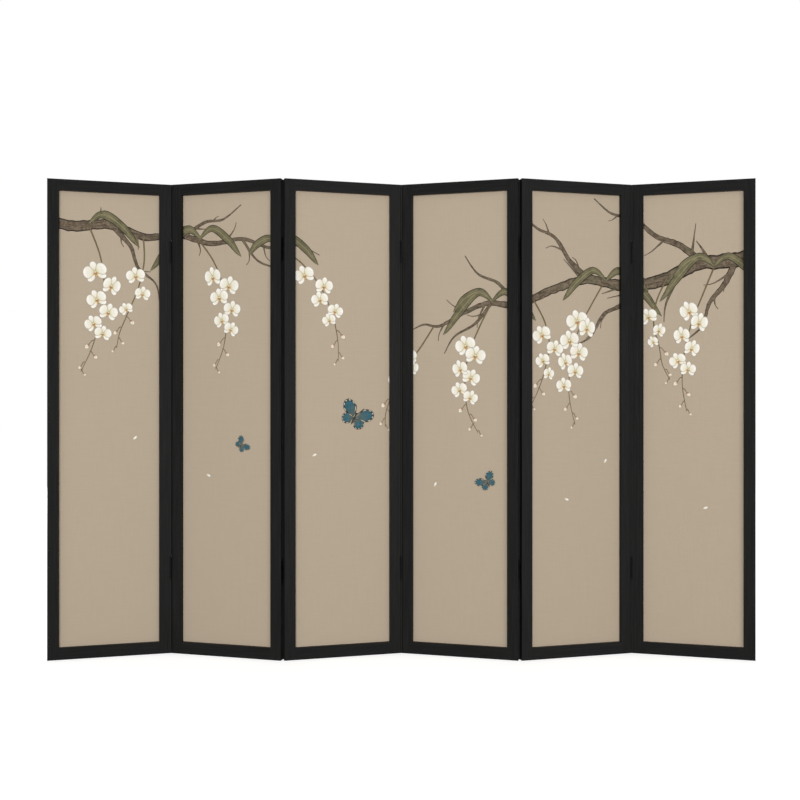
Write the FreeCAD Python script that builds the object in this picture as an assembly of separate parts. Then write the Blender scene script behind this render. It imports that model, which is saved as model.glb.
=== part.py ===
import FreeCAD, Part
import math
import os

from FreeCAD import Placement, Rotation, Vector

# A six-panel folding screen in millimetres. Each panel is a tenoned wooden frame with cloth
# stretched behind its opening, and butt hinges join the panels, on the front and on the back
# by turns, so that the screen stands in a zigzag and folds up like a fan.
# +X is to the right, +Y to the back and +Z up. The origin is on the floor, under the middle
# hinge line and halfway from the front corners to the back ones.
# A panel is drawn in its own axes: x from its left edge, y from its front face, z from the floor.

# The screen
panel_count = 6
panel_width = 450.0
panel_height = 1800.0
panel_thickness = 20.0
half_fold_degrees = 15.5

# The frame members, as wide as they look from the front
stile_width = 42.0
top_rail_width = 42.0
bottom_rail_width = 45.0
arris_radius = 1.2
sight_arris_radius = 0.8

# The shallow rebate round the back of the opening, which holds the cloth and its cover strips
cloth_recess = 16.5
rebate_width = 11.0
cloth_thickness = 0.6
cloth_edge_clearance = 0.5
strip_side_clearance = 0.2
strip_setback = 0.5
strip_round_radius = 0.9

# The tenons of the rails
tenon_thickness_share = 1 / 3
tenon_length = 25.0
tenon_edge_margin = 8.0
tenon_rebate_margin = 4.0
tenon_side_clearance = 0.1
tenon_end_clearance = 0.5

# The brads that hold the cover strips
brad_radius = 0.6
brad_length = 12.0
brad_clearance = 0.05
brad_head_radius = 1.1
brad_head_height = 0.4
brad_corner_distance = 45.0
brad_longest_pitch = 280.0

# The butt hinges
hinge_length = 88.0
upper_hinge_from_top = 260.0
lower_hinge_from_floor = 328.0
knuckle_count = 5
knuckle_end_play = 0.3
knuckle_wall = 1.45
knuckle_to_face = 0.2
knuckle_notch_clearance = 0.3
leaf_thickness = 1.4
leaf_inset = 0.6
leaf_gap = 0.4
leaf_to_far_face = 5.0
leaf_mortise_clearance = 0.15
pin_radius = 1.5
pin_play = 0.05
pin_head_radius = 2.6
pin_head_height = 1.2
pin_head_round = 0.7

# The beads that hide the gap of each joint between and beyond its hinges
bead_foot_width = 8.0
bead_foot_thickness = 1.6
bead_foot_round = 1.0
bead_hinge_clearance = 0.3
bead_end_setback = 1.5

# The hinge screws, three to a leaf
screw_radius = 1.5
screw_head_radius = 2.8
screw_length = 16.0
screw_tip_length = 4.0
screw_clearance = 0.1
screw_slot_width = 0.8
screw_slot_depth = 0.6
screw_spacing = 30.0
screw_line_share = 0.58
screw_stagger_share = 0.09

# How far a cutting shape runs past what it cuts, and how near counts as the same place
overrun = 5.0
same_place = 0.01

# Sizes that follow from the ones above
opening_left = stile_width
opening_right = panel_width - stile_width
opening_bottom = bottom_rail_width
opening_top = panel_height - top_rail_width
strip_front = cloth_recess + cloth_thickness
strip_back = panel_thickness - strip_setback
strip_width = rebate_width - strip_side_clearance
tenon_thickness = panel_thickness * tenon_thickness_share
tenon_front = (panel_thickness - tenon_thickness) / 2
bore_radius = pin_radius + pin_play
knuckle_radius = bore_radius + knuckle_wall
pin_stand_off = knuckle_radius + knuckle_to_face
knuckle_length = (hinge_length - (knuckle_count - 1) * knuckle_end_play) / knuckle_count
leaf_reach = pin_stand_off + panel_thickness - leaf_to_far_face
panel_gap = leaf_gap + 2 * (leaf_thickness - leaf_inset)
screw_head_height = screw_head_radius - screw_radius
hinge_heights = (lower_hinge_from_floor, panel_height - upper_hinge_from_top)

# Directions
to_left, to_right = Vector(-1, 0, 0), Vector(1, 0, 0)
to_front, to_back = Vector(0, -1, 0), Vector(0, 1, 0)
down, up = Vector(0, 0, -1), Vector(0, 0, 1)


def block(corner, opposite):
    """A box between two opposite corners, given in either order."""
    low = Vector(min(corner.x, opposite.x), min(corner.y, opposite.y), min(corner.z, opposite.z))
    size = Vector(abs(corner.x - opposite.x), abs(corner.y - opposite.y), abs(corner.z - opposite.z))
    return Part.makeBox(size.x, size.y, size.z, low)


def edges_between(shape, low, high):
    """The edges of a shape that lie wholly between two corners."""
    edges = []
    for edge in shape.Edges:
        box = edge.BoundBox
        past_low = (box.XMin - low.x, box.YMin - low.y, box.ZMin - low.z)
        short_of_high = (high.x - box.XMax, high.y - box.YMax, high.z - box.ZMax)
        if min(past_low + short_of_high) > -same_place:
            edges.append(edge)
    return edges


def spread(first, last, longest_pitch):
    """Even places from first to last, no further apart than the longest pitch."""
    steps = math.ceil((last - first) / longest_pitch)
    return [first + (last - first) * step / steps for step in range(steps + 1)]


def whole_frame():
    """One frame before it is parted into stiles and rails: its arrises, opening and rebate."""
    frame = block(Vector(0, 0, 0), Vector(panel_width, panel_thickness, panel_height))
    frame = frame.makeFillet(arris_radius, frame.Edges)
    frame = frame.cut(block(
        Vector(opening_left, -overrun, opening_bottom),
        Vector(opening_right, panel_thickness + overrun, opening_top)))
    sight_edges = edges_between(
        frame, Vector(opening_left, 0, opening_bottom), Vector(opening_right, 0, opening_top))
    frame = frame.makeFillet(sight_arris_radius, sight_edges)
    return frame.cut(block(
        Vector(opening_left - rebate_width, cloth_recess, opening_bottom - rebate_width),
        Vector(opening_right + rebate_width, panel_thickness + overrun, opening_top + rebate_width)))


def tenon(side, rail_name, side_growth=0, end_growth=0):
    """The tenon at one end of a rail, rooted in the rail, or its mortise when it is grown."""
    if rail_name == "bottom":
        low, high = tenon_edge_margin, opening_bottom - rebate_width - tenon_rebate_margin
    else:
        low, high = opening_top + rebate_width + tenon_rebate_margin, panel_height - tenon_edge_margin
    if side == "left":
        end, root = opening_left - tenon_length - end_growth, opening_left + overrun
    else:
        end, root = opening_right + tenon_length + end_growth, opening_right - overrun
    return block(
        Vector(end, tenon_front - side_growth, low - side_growth),
        Vector(root, tenon_front + tenon_thickness + side_growth, high + side_growth))


def rail(frame, name):
    """The top or bottom rail, between the stiles, with a tenon at each end."""
    low, high = (0, opening_bottom) if name == "bottom" else (opening_top, panel_height)
    piece = frame.common(block(
        Vector(opening_left, -overrun, low), Vector(opening_right, panel_thickness + overrun, high)))
    piece = piece.fuse([tenon("left", name), tenon("right", name)]).removeSplitter()
    return piece.cut(brad_holes())


def stile(frame, side, hinge_face):
    """A full-height stile with its tenon mortises, brad holes and hinge mortises."""
    outer, inner = (0, opening_left) if side == "left" else (panel_width, opening_right)
    piece = frame.common(block(
        Vector(outer, -overrun, -overrun),
        Vector(inner, panel_thickness + overrun, panel_height + overrun)))
    cuts = [tenon(side, name, tenon_side_clearance, tenon_end_clearance) for name in ("top", "bottom")]
    cuts += brad_holes()
    if hinge_face:
        cuts += hinge_mortises(side, hinge_face)
        cuts += hinge_screws(side, hinge_face, screw_clearance)
    return piece.cut(cuts)


def cloth():
    """The cloth, flat against the back of the frame's front lip and pierced by the brads."""
    edge = rebate_width - cloth_edge_clearance
    return block(
        Vector(opening_left - edge, cloth_recess, opening_bottom - edge),
        Vector(opening_right + edge, strip_front, opening_top + edge)).cut(brad_holes())


def strip_corners(distance):
    """The corners of a rectangle that lies a distance outside the opening, in turn."""
    left, right = opening_left - distance, opening_right + distance
    bottom, top = opening_bottom - distance, opening_top + distance
    return [
        Vector(left, strip_front, bottom), Vector(left, strip_front, top),
        Vector(right, strip_front, top), Vector(right, strip_front, bottom)]


def cover_strips():
    """Four mitred strips behind the cloth, with the back edge round the opening rounded."""
    outer, inner = strip_corners(strip_width), strip_corners(0)
    depth = Vector(0, strip_back - strip_front, 0)
    ring = block(outer[0], outer[2] + depth).cut(
        block(inner[0] - Vector(0, overrun, 0), inner[2] + depth + Vector(0, overrun, 0)))
    back_edges = edges_between(ring, inner[0] + depth, inner[2] + depth)
    ring = ring.makeFillet(strip_round_radius, back_edges)
    pieces = []
    for i in range(len(outer)):
        j = (i + 1) % len(outer)
        mitre = Part.Face(Part.makePolygon([outer[i], outer[j], inner[j], inner[i], outer[i]]))
        pieces += ring.common(mitre.extrude(depth)).cut(brad_holes()).Solids
    return pieces


def brad_starts():
    """Where each brad enters its strip: along the middle of the strip, on its back face."""
    left, right = opening_left - strip_width / 2, opening_right + strip_width / 2
    bottom, top = opening_bottom - strip_width / 2, opening_top + strip_width / 2
    side_places = spread(
        opening_bottom + brad_corner_distance, opening_top - brad_corner_distance, brad_longest_pitch)
    rail_places = spread(
        opening_left + brad_corner_distance, opening_right - brad_corner_distance, brad_longest_pitch)
    starts = [Vector(x, strip_back, z) for z in side_places for x in (left, right)]
    return starts + [Vector(x, strip_back, z) for x in rail_places for z in (bottom, top)]


def brads():
    """The brads, driven to the front from behind, with their flat heads on the strips."""
    pieces = []
    for start in brad_starts():
        head = Part.makeCylinder(brad_head_radius, brad_head_height, start, to_back)
        pieces.append(head.fuse(Part.makeCylinder(brad_radius, brad_length, start, to_front)))
    return pieces


def brad_holes():
    """The holes of the brads, a clearance wider and deeper."""
    radius, length = brad_radius + brad_clearance, brad_length + brad_clearance
    return [Part.makeCylinder(radius, length, start, to_front) for start in brad_starts()]


def pin_place(side, hinge_face):
    """Where the pin line of a panel's left or right edge meets the floor, in the panel's axes."""
    x = -panel_gap / 2 if side == "left" else panel_width + panel_gap / 2
    y = -pin_stand_off if hinge_face == "front" else panel_thickness + pin_stand_off
    return Vector(x, y, 0)


def leaf_ways(side, hinge_face):
    """Signs from the pin to a leaf: along x into its panel, and along y over the stile's edge."""
    return (1 if side == "left" else -1), (1 if hinge_face == "front" else -1)


def hinge_mortises(side, hinge_face):
    """The shallow cuts in a stile's edge that the leaves lie in, open at the hinge's face."""
    across, along = leaf_ways(side, hinge_face)
    half_height = hinge_length / 2 + leaf_mortise_clearance
    cuts = []
    for height in hinge_heights:
        pin = pin_place(side, hinge_face) + up * height
        cuts.append(block(
            pin + Vector(0, 0, -half_height),
            pin + Vector(
                across * (leaf_gap / 2 + leaf_thickness),
                along * (leaf_reach + leaf_mortise_clearance),
                half_height)))
    return cuts


def knuckle_span(number):
    """The lower and upper end of a knuckle, counted from the top, from the hinge's middle."""
    top = hinge_length / 2 - number * (knuckle_length + knuckle_end_play)
    return top - knuckle_length, top


def hinge_leaf(side, hinge_face):
    """One leaf about a pin at the origin: a plate with its own knuckles and notches for the others.
    The leaf on the right edge of a panel has the first, third and fifth knuckle."""
    across, along = leaf_ways(side, hinge_face)
    own_first = 0 if side == "right" else 1
    plate = block(
        Vector(across * leaf_gap / 2, 0, -hinge_length / 2),
        Vector(across * (leaf_gap / 2 + leaf_thickness), along * leaf_reach, hinge_length / 2))
    notches, barrels = [], []
    for number in range(knuckle_count):
        low, high = knuckle_span(number)
        if number % 2 == own_first:
            barrels.append(Part.makeCylinder(knuckle_radius, high - low, Vector(0, 0, low)))
        else:
            low, high = low - knuckle_end_play, high + knuckle_end_play
            radius = knuckle_radius + knuckle_notch_clearance
            notches.append(Part.makeCylinder(radius, high - low, Vector(0, 0, low)))
    leaf = plate.cut(notches).fuse(barrels)
    bore = Part.makeCylinder(bore_radius, hinge_length + 2 * overrun, down * (hinge_length / 2 + overrun))
    return leaf.cut(bore)


def hinge_leaves(side, hinge_face):
    """The upper and lower leaf on one edge of a panel, with their screw holes."""
    leaf = hinge_leaf(side, hinge_face)
    holes = hinge_screws(side, hinge_face, screw_clearance)
    pieces = []
    for height in hinge_heights:
        placed = leaf.translated(pin_place(side, hinge_face) + up * height)
        pieces += placed.cut(holes).Solids
    return pieces


def hinge_screw(start, way, growth):
    """A countersunk wood screw, or the plain hole for it when it is grown."""
    head = Part.makeCone(
        screw_head_radius + growth, screw_radius + growth, screw_head_height, start, way)
    shank_length = screw_length - screw_tip_length
    shank = Part.makeCylinder(screw_radius + growth, shank_length, start, way)
    tip_start = start + way * shank_length
    if growth:
        return head.fuse([shank, Part.makeCylinder(
            screw_radius + growth, screw_tip_length + growth, tip_start, way)])
    tip = Part.makeCone(screw_radius, 0, screw_tip_length, tip_start, way)
    slot = block(
        start + Vector(0, -screw_slot_width / 2, -screw_head_radius),
        start + way * screw_slot_depth + Vector(0, screw_slot_width / 2, screw_head_radius))
    return head.fuse([shank, tip]).cut(slot)


def hinge_screws(side, hinge_face, growth=0):
    """Three screws for each leaf on one edge of a panel, the middle one nearer to the pin."""
    across, along = leaf_ways(side, hinge_face)
    way = to_right if side == "left" else to_left
    screws = []
    for height in hinge_heights:
        for row in (-1, 0, 1):
            share = screw_line_share + screw_stagger_share * (abs(row) * 2 - 1)
            start = pin_place(side, hinge_face) + Vector(
                across * leaf_gap / 2, along * leaf_reach * share, height + row * screw_spacing)
            screws.append(hinge_screw(start, way, growth))
    return screws


def hinge_pins(hinge_face):
    """The upper and lower pin on the right edge of a panel, each with a round-edged head."""
    head = Part.makeCylinder(pin_head_radius, pin_head_height, up * (hinge_length / 2))
    rim = edges_between(
        head, up * (hinge_length / 2 + pin_head_height) - Vector(pin_head_radius, pin_head_radius, 0),
        up * (hinge_length / 2 + pin_head_height) + Vector(pin_head_radius, pin_head_radius, 0))
    head = head.makeFillet(pin_head_round, rim)
    pin = Part.makeCylinder(pin_radius, hinge_length, down * (hinge_length / 2)).fuse(head)
    return [pin.translated(pin_place("right", hinge_face) + up * height) for height in hinge_heights]


def bead_spans():
    """The lower and upper end of each length of bead: below, between and above the hinges."""
    clear_below = hinge_length / 2 + bead_hinge_clearance
    clear_above = clear_below + pin_head_height
    spans, start = [], bead_end_setback
    for height in hinge_heights:
        spans.append((start, height - clear_below))
        start = height + clear_above
    return spans + [(start, panel_height - bead_end_setback)]


def joint_bead(hinge_face):
    """The bead on the right edge of a panel: a flat foot on the stile's face, and a round nose on
    the pin line, as thick as the knuckles, so that the next panel turns round it."""
    along = leaf_ways("right", hinge_face)[1]
    pieces = []
    for low, high in bead_spans():
        pin = pin_place("right", hinge_face)
        seat = pin + Vector(0, along * pin_stand_off, low)
        outer = pin + Vector(
            -panel_gap / 2 - bead_foot_width, along * (pin_stand_off - bead_foot_thickness), low)
        foot = block(seat, outer + up * (high - low))
        foot = foot.makeFillet(bead_foot_round, edges_between(foot, outer, outer + up * (high - low)))
        nose = Part.makeCylinder(knuckle_radius, high - low, pin + up * low)
        pieces.append(foot.fuse(nose).removeSplitter())
    return pieces


def hinge_face_of(joint):
    """The face that a joint's pins stand in front of. Joint k lies between panels k and k + 1."""
    if not 0 < joint < panel_count:
        return None
    return "front" if joint % 2 else "back"


def panel_placement(number):
    """Where a panel stands: odd panels run to the back on their right, even ones to the front."""
    turn = math.radians(half_fold_degrees)
    pin_step = Vector(panel_width + panel_gap, panel_thickness + 2 * pin_stand_off, 0)
    step_right = pin_step.x * math.cos(turn) + pin_step.y * math.sin(turn)
    step_forward = pin_step.x * math.sin(turn) - pin_step.y * math.cos(turn)
    depth = panel_width * math.sin(turn) + panel_thickness * math.cos(turn)
    to_pin = pin_place("right", "front")
    back_row = to_pin.x * math.sin(turn) + to_pin.y * math.cos(turn) - depth / 2
    joint = number if number < panel_count else number - 1
    side = "right" if number < panel_count else "left"
    face = hinge_face_of(joint)
    pin = Vector(
        (joint - panel_count // 2) * step_right,
        back_row if face == "front" else back_row - step_forward, 0)
    rotation = Rotation(up, half_fold_degrees if number % 2 else -half_fold_degrees)
    return Placement(pin - rotation.multVec(pin_place(side, face)), rotation)


def save(name, pieces, placement):
    """Writes the solids of one node where they stand in the screen."""
    node = Part.makeCompound([piece.copy() for piece in pieces])
    node = node.transformed(placement.toMatrix(), copy=True)
    node.exportStep("parts/" + name + ".step")
    box = node.BoundBox
    sound = "sound" if node.isValid() else "NOT VALID"
    print(name, len(node.Solids), "solids", sound, "volume", round(node.Volume),
          "box", [round(v, 2) for v in (box.XMin, box.YMin, box.ZMin, box.XMax, box.YMax, box.ZMax)])


def main():
    os.makedirs("parts", exist_ok=True)
    frame = whole_frame()
    top_rail, bottom_rail = rail(frame, "top"), rail(frame, "bottom")
    cloth_piece, strip_pieces, brad_pieces = cloth(), cover_strips(), brads()
    for number in range(1, panel_count + 1):
        place = panel_placement(number)
        left_face, right_face = hinge_face_of(number - 1), hinge_face_of(number)
        leaves, screws = [], []
        for side, face in (("left", left_face), ("right", right_face)):
            save(f"panel_{number}_{side}_stile", [stile(frame, side, face)], place)
            if face:
                leaves += hinge_leaves(side, face)
                screws += hinge_screws(side, face)
        save(f"panel_{number}_top_rail", [top_rail], place)
        save(f"panel_{number}_bottom_rail", [bottom_rail], place)
        save(f"panel_{number}_cloth", [cloth_piece], place)
        save(f"panel_{number}_cover_strips", strip_pieces, place)
        save(f"panel_{number}_strip_brads", brad_pieces, place)
        save(f"panel_{number}_hinge_leaves", leaves, place)
        save(f"panel_{number}_hinge_screws", screws, place)
        if right_face:
            save(f"panel_{number}_joint_bead", joint_bead(right_face), place)
            save(f"hinge_pins_{number}_{number + 1}", hinge_pins(right_face), place)


main()
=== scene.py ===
# %% [markdown]
# # A folding screen with painted cloth
# The screen has six tall frames of black wood. Cloth is stretched behind each opening, and one
# picture runs on from cloth to cloth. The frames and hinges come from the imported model. This
# lesson gives them their finishes, stretches the cloth, paints it, and sets up light and camera.

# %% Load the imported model
import math
import random

import bpy
from mathutils import Matrix, Vector


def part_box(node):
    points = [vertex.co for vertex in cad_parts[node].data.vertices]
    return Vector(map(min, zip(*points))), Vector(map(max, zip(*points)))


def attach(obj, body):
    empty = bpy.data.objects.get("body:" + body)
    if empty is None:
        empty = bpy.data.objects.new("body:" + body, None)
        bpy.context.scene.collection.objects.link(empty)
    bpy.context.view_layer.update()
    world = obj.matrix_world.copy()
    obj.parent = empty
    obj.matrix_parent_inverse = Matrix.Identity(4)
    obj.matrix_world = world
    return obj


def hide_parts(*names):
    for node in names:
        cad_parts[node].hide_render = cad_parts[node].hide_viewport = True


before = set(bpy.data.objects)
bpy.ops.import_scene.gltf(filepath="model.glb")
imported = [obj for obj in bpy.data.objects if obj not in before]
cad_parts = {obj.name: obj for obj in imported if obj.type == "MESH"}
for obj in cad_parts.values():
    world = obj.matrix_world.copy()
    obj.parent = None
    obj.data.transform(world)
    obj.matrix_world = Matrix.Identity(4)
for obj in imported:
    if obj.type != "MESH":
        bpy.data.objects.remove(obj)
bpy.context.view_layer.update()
MM = 0.001
print("the packed screen has", len(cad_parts), "nodes")

# %% [markdown]
# The panels stand in a zigzag. Each has its own axes: across from its middle, depth from the
# middle of its thickness, and height from the floor. Everything new is made flat in those axes
# and then stood in its panel, so the turn of a panel is written once.

# %% The screen's measures
PANELS = range(1, 7)
PANEL_WIDTH = 450 * MM
PANEL_HEIGHT = 1800 * MM
PANEL_THICKNESS = 20 * MM
PANEL_GAP = 2 * MM
PIN_STAND_OFF = 3.2 * MM
TURN = math.radians(15.5)
STILE_WIDTH = 42 * MM
TOP_RAIL_WIDTH = 42 * MM
BOTTOM_RAIL_WIDTH = 45 * MM
CLOTH_RECESS = 16.5 * MM
CLOTH_THICKNESS = 0.6 * MM
CLOTH_HEM = 10.5 * MM

PANEL_STEP = ((PANEL_WIDTH + PANEL_GAP) * math.cos(TURN)
              + (PANEL_THICKNESS + 2 * PIN_STAND_OFF) * math.sin(TURN))
OPENING_HALF = PANEL_WIDTH / 2 - STILE_WIDTH
OPENING_BOTTOM = BOTTOM_RAIL_WIDTH
OPENING_TOP = PANEL_HEIGHT - TOP_RAIL_WIDTH
OPENING_HEIGHT = OPENING_TOP - OPENING_BOTTOM
OPENING_MIDDLE = (OPENING_BOTTOM + OPENING_TOP) / 2
CLOTH_FRONT = CLOTH_RECESS - PANEL_THICKNESS / 2
print("each opening is", round(2 * OPENING_HALF / MM), "by", round(OPENING_HEIGHT / MM), "mm")


# %% Where a panel stands
def panel_matrix(number):
    """Takes a panel's own axes to where it stands: odd panels turn one way, even ones back."""
    turn = TURN if number % 2 else -TURN
    middle = (number - (len(PANELS) + 1) / 2) * PANEL_STEP
    return Matrix.Translation((middle, 0, 0)) @ Matrix.Rotation(turn, 4, "Z")


_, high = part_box("panel_6_right_stile")
corner = panel_matrix(6) @ Vector((PANEL_WIDTH / 2, -PANEL_THICKNESS / 2, 0))
print("the last stile ends", round((corner.x - high.x) / MM, 2), "mm off the lesson's own sum")

# %% [markdown]
# The camera looks straight at the screen from about four metres, at half its height, and level,
# so that uprights stay upright. Its place and lens were worked out from the edges of the openings.

# %% Camera
CAMERA_PLACE = Vector((-0.00501, -3.9798, 0.97275))
FOCAL_LENGTH = 47.2
SENSOR_WIDTH = 36
bpy.ops.object.camera_add(location=CAMERA_PLACE, rotation=(math.pi / 2, 0, 0))
camera = bpy.context.object
camera.name = "camera"
camera.data.lens = FOCAL_LENGTH
camera.data.sensor_width = SENSOR_WIDTH
bpy.context.scene.camera = camera
bpy.context.scene.view_settings.view_transform = "Standard"
print("camera at", tuple(camera.location))

# %% [markdown]
# Small helpers keep the materials short. The first links a socket to another one, or writes a
# plain value into it. The second adds a node and feeds its sockets in their own order.


# %% Nodes and links
def feed(tree, source, socket):
    """Links a socket to another one, or writes a plain value into it."""
    if isinstance(source, bpy.types.NodeSocket):
        tree.links.new(source, socket)
    else:
        socket.default_value = source


def add(tree, kind, sources=(), **settings):
    """A shader node with its settings, fed in the order of its sockets. None leaves a socket."""
    made = tree.nodes.new("ShaderNode" + kind)
    for name, value in settings.items():
        setattr(made, name, value)
    sockets = [socket for socket in made.inputs if socket.enabled]
    for source, socket in zip(sources, sockets):
        if source is not None:
            feed(tree, source, socket)
    return made


print("helpers for nodes are ready")

# %% [markdown]
# Every finish here is worked out by a few kinds of node: sums, soft steps, clouds of noise and
# mixes. Colours are given as they are read off a screen.


# %% Sums, steps, noise and mixes
def calc(tree, operation, *sources):
    """A sum on numbers."""
    return add(tree, "Math", sources, operation=operation).outputs[0]


def smooth(tree, value, low, high):
    """0 below low and 1 above high, with a soft step between. Swapped limits turn it round."""
    made = add(tree, "MapRange", (value, low, high, 0.0, 1.0), interpolation_type="SMOOTHSTEP")
    return made.outputs[0]


def noise(tree, vector, scale, detail=2.0, roughness=0.5):
    """Cloudy grey from 0 to 1."""
    made = add(tree, "TexNoise")
    feed(tree, vector, made.inputs["Vector"])
    for name, value in (("Scale", scale), ("Detail", detail), ("Roughness", roughness)):
        made.inputs[name].default_value = value
    return made.outputs["Fac"]


def mix(tree, kind, factor, first, second):
    """A mix of two sockets or values of one kind: the first at 0 and the second at 1."""
    made = add(tree, "Mix", (factor, first, second), data_type=kind)
    return next(socket for socket in made.outputs if socket.enabled)


def blend(tree, factor, first, second):
    """A mix of two colours."""
    return mix(tree, "RGBA", factor, first, second)


def stretch(tree, vector, scale):
    """The same place, scaled along each axis."""
    return add(tree, "VectorMath", (vector, scale), operation="MULTIPLY").outputs[0]


def object_place(tree):
    """A point's place in the object's own space, which here is the room's."""
    return add(tree, "TexCoord").outputs["Object"]


def colour(red, green, blue):
    """A colour as it is read off a screen, from 0 to 255, as the shader wants it."""
    parts = [v / 255 for v in (red, green, blue)]
    return (*[v / 12.92 if v <= 0.04045 else ((v + 0.055) / 1.055) ** 2.4 for v in parts], 1.0)


print("a middle grey is", round(colour(128, 128, 128)[0], 3), "to the shader")

# %% [markdown]
# What several finishes share is a node group, built once and placed in each. A finish is a
# material whose Principled shader has its plain numbers on its own sockets.


# %% Groups and finishes
def group(name, inputs, outputs):
    """An empty node group with named sockets, its inlets and its outlets."""
    made = bpy.data.node_groups.new(name, "ShaderNodeTree")
    for label, kind, value in inputs:
        socket = made.interface.new_socket(label, in_out="INPUT", socket_type="NodeSocket" + kind)
        socket.default_value = value
    for label, kind in outputs:
        made.interface.new_socket(label, in_out="OUTPUT", socket_type="NodeSocket" + kind)
    return made, made.nodes.new("NodeGroupInput").outputs, made.nodes.new("NodeGroupOutput").inputs


def use(tree, made, **values):
    """A node group placed in a tree, with its values."""
    placed = tree.nodes.new("ShaderNodeGroup")
    placed.node_tree = made
    for name, value in values.items():
        feed(tree, value, placed.inputs[name.replace("_", " ")])
    return placed.outputs


def finish_of(name, roughness, **plain):
    """A new material, its tree and its Principled sockets, with plain values on them."""
    material = bpy.data.materials.new(name)
    material.use_nodes = True
    shader = material.node_tree.nodes["Principled BSDF"]
    shader.inputs["Roughness"].default_value = roughness
    for label, value in plain.items():
        shader.inputs[label.replace("_", " ")].default_value = value
    return material, material.node_tree, shader.inputs


def relief(tree, height, depth, shader):
    """Bump of a real depth in metres."""
    made = add(tree, "Bump")
    made.inputs["Strength"].default_value = 1.0
    made.inputs["Distance"].default_value = depth
    feed(tree, height, made.inputs["Height"])
    tree.links.new(made.outputs["Normal"], shader["Normal"])


print("finishes can be made")

# %% [markdown]
# Grain has to run along each stick of wood, and the sticks of a zigzag point many ways. This
# group finds the panel from how far along the screen a point is, and turns the point and its
# normal back into that panel's own axes. Every finish that has a direction starts here.

# %% The panel's own axes, for shaders
panel_axes, _, outlets = group(
    "panel axes", [], [("Place", "Vector"), ("Facing", "Vector"), ("Number", "Float")])
tree = panel_axes
spot = add(tree, "TexCoord").outputs
along_screen = add(tree, "SeparateXYZ", [spot["Object"]]).outputs[0]
steps = calc(tree, "DIVIDE", along_screen, PANEL_STEP)
number = calc(tree, "FLOOR", calc(tree, "ADD", steps, len(PANELS) / 2))
even = calc(tree, "MODULO", number, 2.0)
back_turn = calc(tree, "MULTIPLY", calc(tree, "SUBTRACT", even, 0.5), 2 * TURN)
middle = calc(tree, "SUBTRACT", number, (len(PANELS) - 1) / 2)
middle = calc(tree, "MULTIPLY", middle, PANEL_STEP)
centre = add(tree, "CombineXYZ", [middle]).outputs[0]
turned = add(tree, "VectorRotate", (spot["Object"], centre, back_turn), rotation_type="Z_AXIS")
facing = add(tree, "VectorRotate", (spot["Normal"], None, back_turn), rotation_type="Z_AXIS")
own_place = add(tree, "VectorMath", (turned.outputs[0], centre), operation="SUBTRACT")
feed(tree, own_place.outputs[0], outlets["Place"])
feed(tree, facing.outputs[0], outlets["Facing"])
feed(tree, number, outlets["Number"])
print("panel axes:", len(panel_axes.nodes), "nodes")

# %% [markdown]
# The grain is two clouds of noise drawn out along the stick: broad streaks a few millimetres
# wide, and fine pores. Upright is 1 for a stile and 0 for a rail. Each panel is cut from another
# plank, so the clouds are shifted by its number. The arris mask is high on the rounded arrises,
# which are the only faces that look along none of the panel's axes. It marks patchy wear, and a
# painted highlight that makes the arrises paler.

# %% Wood grain, for shaders
ALONG_THE_GRAIN = (1, 1, 0.03)
HAND_WIDE = (1, 1, 0.25)
STREAK_SCALE, PORE_SCALE, RUBBING_SCALE = 190, 1300, 60
NEXT_PLANK = (3.7, 0.0, 1.3)
wood_grain, inlets, outlets = group(
    "wood grain", [("Upright", "Float", 1.0)],
    [("Streaks", "Float"), ("Pores", "Float"), ("Wear and highlight", "Float")])
tree = wood_grain
axes = use(tree, panel_axes)
place = add(tree, "SeparateXYZ", [axes["Place"]]).outputs
lying = add(tree, "CombineXYZ", (place[2], place[1], place[0])).outputs[0]
stick = mix(tree, "VECTOR", inlets["Upright"], lying, axes["Place"])
shift = add(tree, "CombineXYZ", [
    calc(tree, "MULTIPLY", axes["Number"], metres) for metres in NEXT_PLANK]).outputs[0]
stick_place = add(tree, "VectorMath", (stick, shift), operation="ADD").outputs[0]
drawn_out = stretch(tree, stick_place, ALONG_THE_GRAIN)
feed(tree, noise(tree, drawn_out, STREAK_SCALE, detail=4, roughness=0.6), outlets["Streaks"])
feed(tree, noise(tree, drawn_out, PORE_SCALE), outlets["Pores"])

askew = add(tree, "VectorMath", [axes["Facing"]], operation="ABSOLUTE").outputs[0]
askew = add(tree, "SeparateXYZ", [askew]).outputs
straightest = calc(tree, "MAXIMUM", calc(tree, "MAXIMUM", askew[0], askew[1]), askew[2])
arris = smooth(tree, straightest, 0.97, 0.8)
hands = noise(tree, stretch(tree, stick_place, HAND_WIDE), RUBBING_SCALE, detail=3)
patchy = calc(tree, "MULTIPLY_ADD", smooth(tree, hands, 0.35, 0.65), 0.6, 0.4)
feed(tree, calc(tree, "MULTIPLY", arris, patchy), outlets["Wear and highlight"])
print("wood grain:", len(wood_grain.nodes), "nodes")

# %% [markdown]
# The frames are stained black under a matt lacquer. The stain is nearly even, with the grain
# just showing. Hands have rubbed the arrises a little smoother, and their stain is painted paler,
# partly as wear and partly as a painted highlight. The strips behind are mitred, so each place on
# them has to find out which way its strip runs.

# %% Black wood
# The first two colours are the stain; the third is the arrises' wear and painted highlight.
STAIN_DARK, STAIN_LIGHT, STAIN_WORN_AND_HIGHLIGHTED = colour(7, 7, 7), colour(27, 26, 25), colour(38, 37, 35)
# The beads' stain is painted lighter than the frames', as painted light against the shade in the joints
# beside them.
PAINTED_LIGHT_BEAD_DARK, PAINTED_LIGHT_BEAD_LIGHT = colour(18, 18, 17), colour(28, 27, 26)
LACQUER_GLOSS = 0.13
LACQUER_ROUGHNESS = 0.42
GRAIN_DEPTH = 0.04 * MM


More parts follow.
